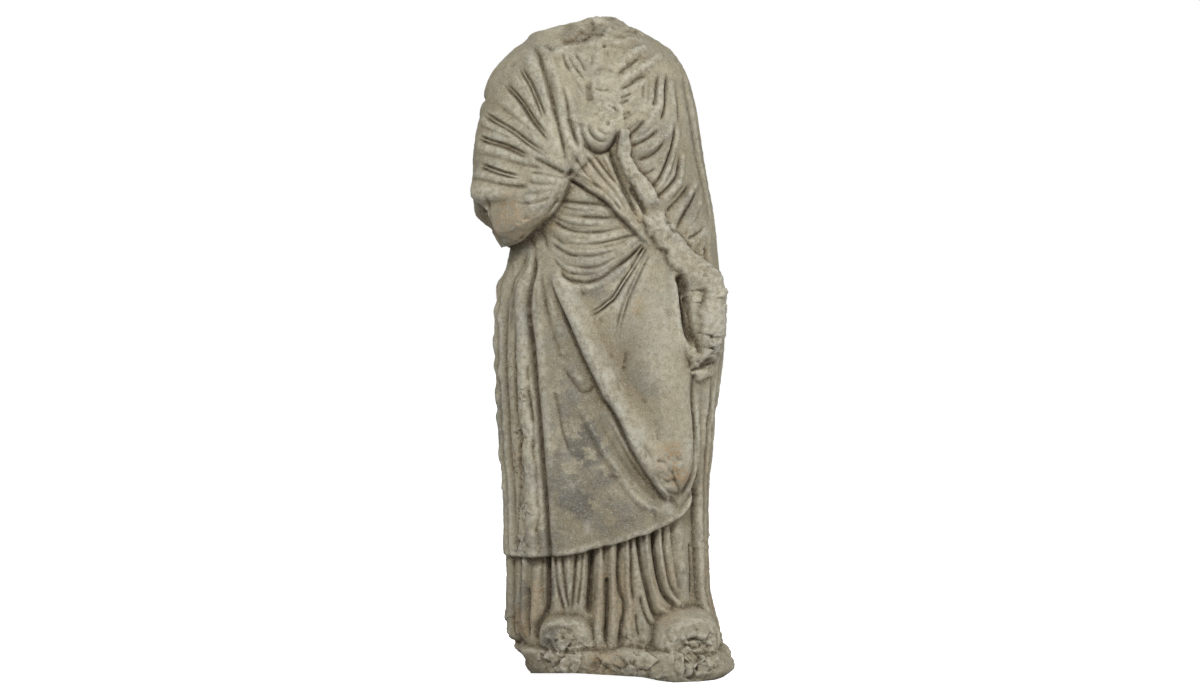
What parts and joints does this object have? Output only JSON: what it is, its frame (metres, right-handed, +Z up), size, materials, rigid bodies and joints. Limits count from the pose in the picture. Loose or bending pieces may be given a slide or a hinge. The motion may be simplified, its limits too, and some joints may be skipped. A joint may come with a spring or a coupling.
{
  "type": "marble statue",
  "caption": "Headless worn marble statue of a standing woman in a tunic and a mantle drawn round a folded right arm, broken off on a stub of plinth.",
  "frame": {"origin": "on the floor plane, under the middle of the statue's bounding box", "axes": "+Z up along the figure; the figure looks along -Y; +X is the figure's own left"},
  "size_m": [0.5894, 0.3638, 1.4716],
  "materials": {
    "marble": "matt, weathered, with grey and brown stains"
  },
  "bodies": {
    "root": {"statue": "marble"}
  },
  "joints": []
}
